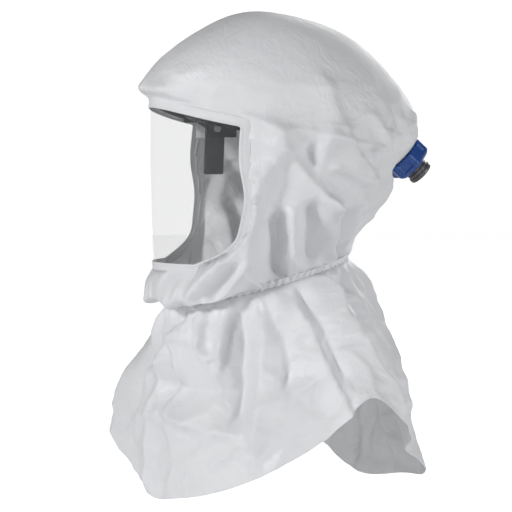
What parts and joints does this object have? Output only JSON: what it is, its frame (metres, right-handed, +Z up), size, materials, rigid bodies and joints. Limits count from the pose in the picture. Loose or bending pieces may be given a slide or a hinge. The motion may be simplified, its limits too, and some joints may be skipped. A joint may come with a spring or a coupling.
{
  "type": "powered air respirator",
  "caption": "Hood of a powered air respirator: loose white hood with clear lens and shoulder shroud over a head harness, with an air duct and a blue-collared inlet.",
  "frame": {"origin": "centre of the headband inside the hood, at forehead level: the centre of the wearer's head", "axes": "+Z up, the wearer looks along -Y, +X to the wearer's left"},
  "size_m": [0.4107, 0.3611, 0.5871],
  "materials": {
    "hood_fabric": "coated nonwoven, slight sheen",
    "elastic": "woven elastic",
    "lens": "clear",
    "black_plastic": "fine texture",
    "charcoal_plastic": "satin",
    "pad": "brushed knit over foam",
    "steel": "satin",
    "rubber": "matte",
    "white_plastic": "satin",
    "blue_plastic": "semi-gloss",
    "grey_plastic": "satin"
  },
  "bodies": {
    "hood": {"crown_panel": "hood_fabric", "side_panel_left": "hood_fabric", "side_panel_right": "hood_fabric", "chin_panel": "hood_fabric", "shroud_front": "hood_fabric", "shroud_back": "hood_fabric", "lens_binding": "hood_fabric", "inlet_patch": "hood_fabric", "neck_elastic": "elastic", "hood_tab_left": "elastic", "hood_tab_right": "elastic", "lens": "lens", "headband": "black_plastic", "crown_strap_long": "black_plastic", "crown_strap_cross": "black_plastic", "temple_block_left": "black_plastic", "temple_block_right": "black_plastic", "support_arm_left": "black_plastic", "support_arm_right": "black_plastic", "lens_support": "black_plastic", "housing_base": "black_plastic", "housing_cover": "black_plastic", "deflector_ear_left": "black_plastic", "deflector_ear_right": "black_plastic", "band_keeper_left": "black_plastic", "band_keeper_right": "black_plastic", "duct_saddle_front": "black_plastic", "duct_saddle_rear": "black_plastic", "sweatband": "pad", "crown_pad": "pad", "nape_pad": "pad", "strap_stud_front": "charcoal_plastic", "strap_stud_left": "charcoal_plastic", "strap_stud_right": "charcoal_plastic", "strap_stud_rear": "charcoal_plastic", "duct_tray_front": "charcoal_plastic", "duct_tray_rear": "charcoal_plastic", "duct_cover_front": "charcoal_plastic", "duct_cover_rear": "charcoal_plastic", "outlet_nozzle": "charcoal_plastic", "inlet_elbow": "charcoal_plastic", "inlet_stub": "charcoal_plastic", "hanger_stud_left": "steel", "hanger_stud_right": "steel", "housing_screw_left": "steel", "housing_screw_right": "steel", "detent_spring": "steel", "flange_gasket": "rubber", "slip_ring": "rubber"},
    "collar": {"locking_collar": "blue_plastic"},
    "socket": {"swivel_socket": "grey_plastic", "socket_ring": "rubber"},
    "knob": {"ratchet_knob": "charcoal_plastic", "pinion_shaft": "white_plastic"},
    "rack_to_left": {"rack_left": "charcoal_plastic"},
    "rack_to_right": {"rack_right": "charcoal_plastic"},
    "flap": {"deflector": "charcoal_plastic"},
    "left_hanger": {"hanger_left": "charcoal_plastic"},
    "right_hanger": {"hanger_right": "charcoal_plastic"}
  },
  "joints": [
    {"name": "collar_turn", "type": "hinge", "parent": "hood", "child": "collar", "pos_m": [0, 0.17, -0.032], "axis": [0, 0.7431, -0.6691], "range_deg": [-75, 0]},
    {"name": "socket_swivel", "type": "hinge", "parent": "hood", "child": "socket", "pos_m": [0, 0.17, -0.032], "axis": [0, 0.7431, -0.6691], "continuous": true},
    {"name": "knob_turn", "type": "hinge", "parent": "hood", "child": "knob", "pos_m": [0, 0.1, -0.0162], "axis": [0, 1, 0], "range_deg": [-90, 90]},
    {"name": "rack_left_slide", "type": "slide", "parent": "hood", "child": "rack_to_left", "axis": [1, 0, 0], "range_m": [-0.0079, 0.0079]},
    {"name": "rack_right_slide", "type": "slide", "parent": "hood", "child": "rack_to_right", "axis": [-1, 0, 0], "range_m": [-0.0079, 0.0079]},
    {"name": "flap_tilt", "type": "hinge", "parent": "hood", "child": "flap", "pos_m": [0, -0.112, 0.039], "axis": [1, 0, 0], "range_deg": [-20, 20]},
    {"name": "hanger_left_swing", "type": "hinge", "parent": "hood", "child": "left_hanger", "pos_m": [0.09, -0.04, -0.003], "axis": [1, 0, 0], "range_deg": [-15, 15]},
    {"name": "hanger_right_swing", "type": "hinge", "parent": "hood", "child": "right_hanger", "pos_m": [-0.09, -0.04, -0.003], "axis": [1, 0, 0], "range_deg": [-15, 15]}
  ],
  "couplings": [
    {"joint": "rack_left_slide", "follows": "knob_turn", "m_per_rad": 0.005},
    {"joint": "rack_right_slide", "follows": "knob_turn", "m_per_rad": 0.005}
  ]
}
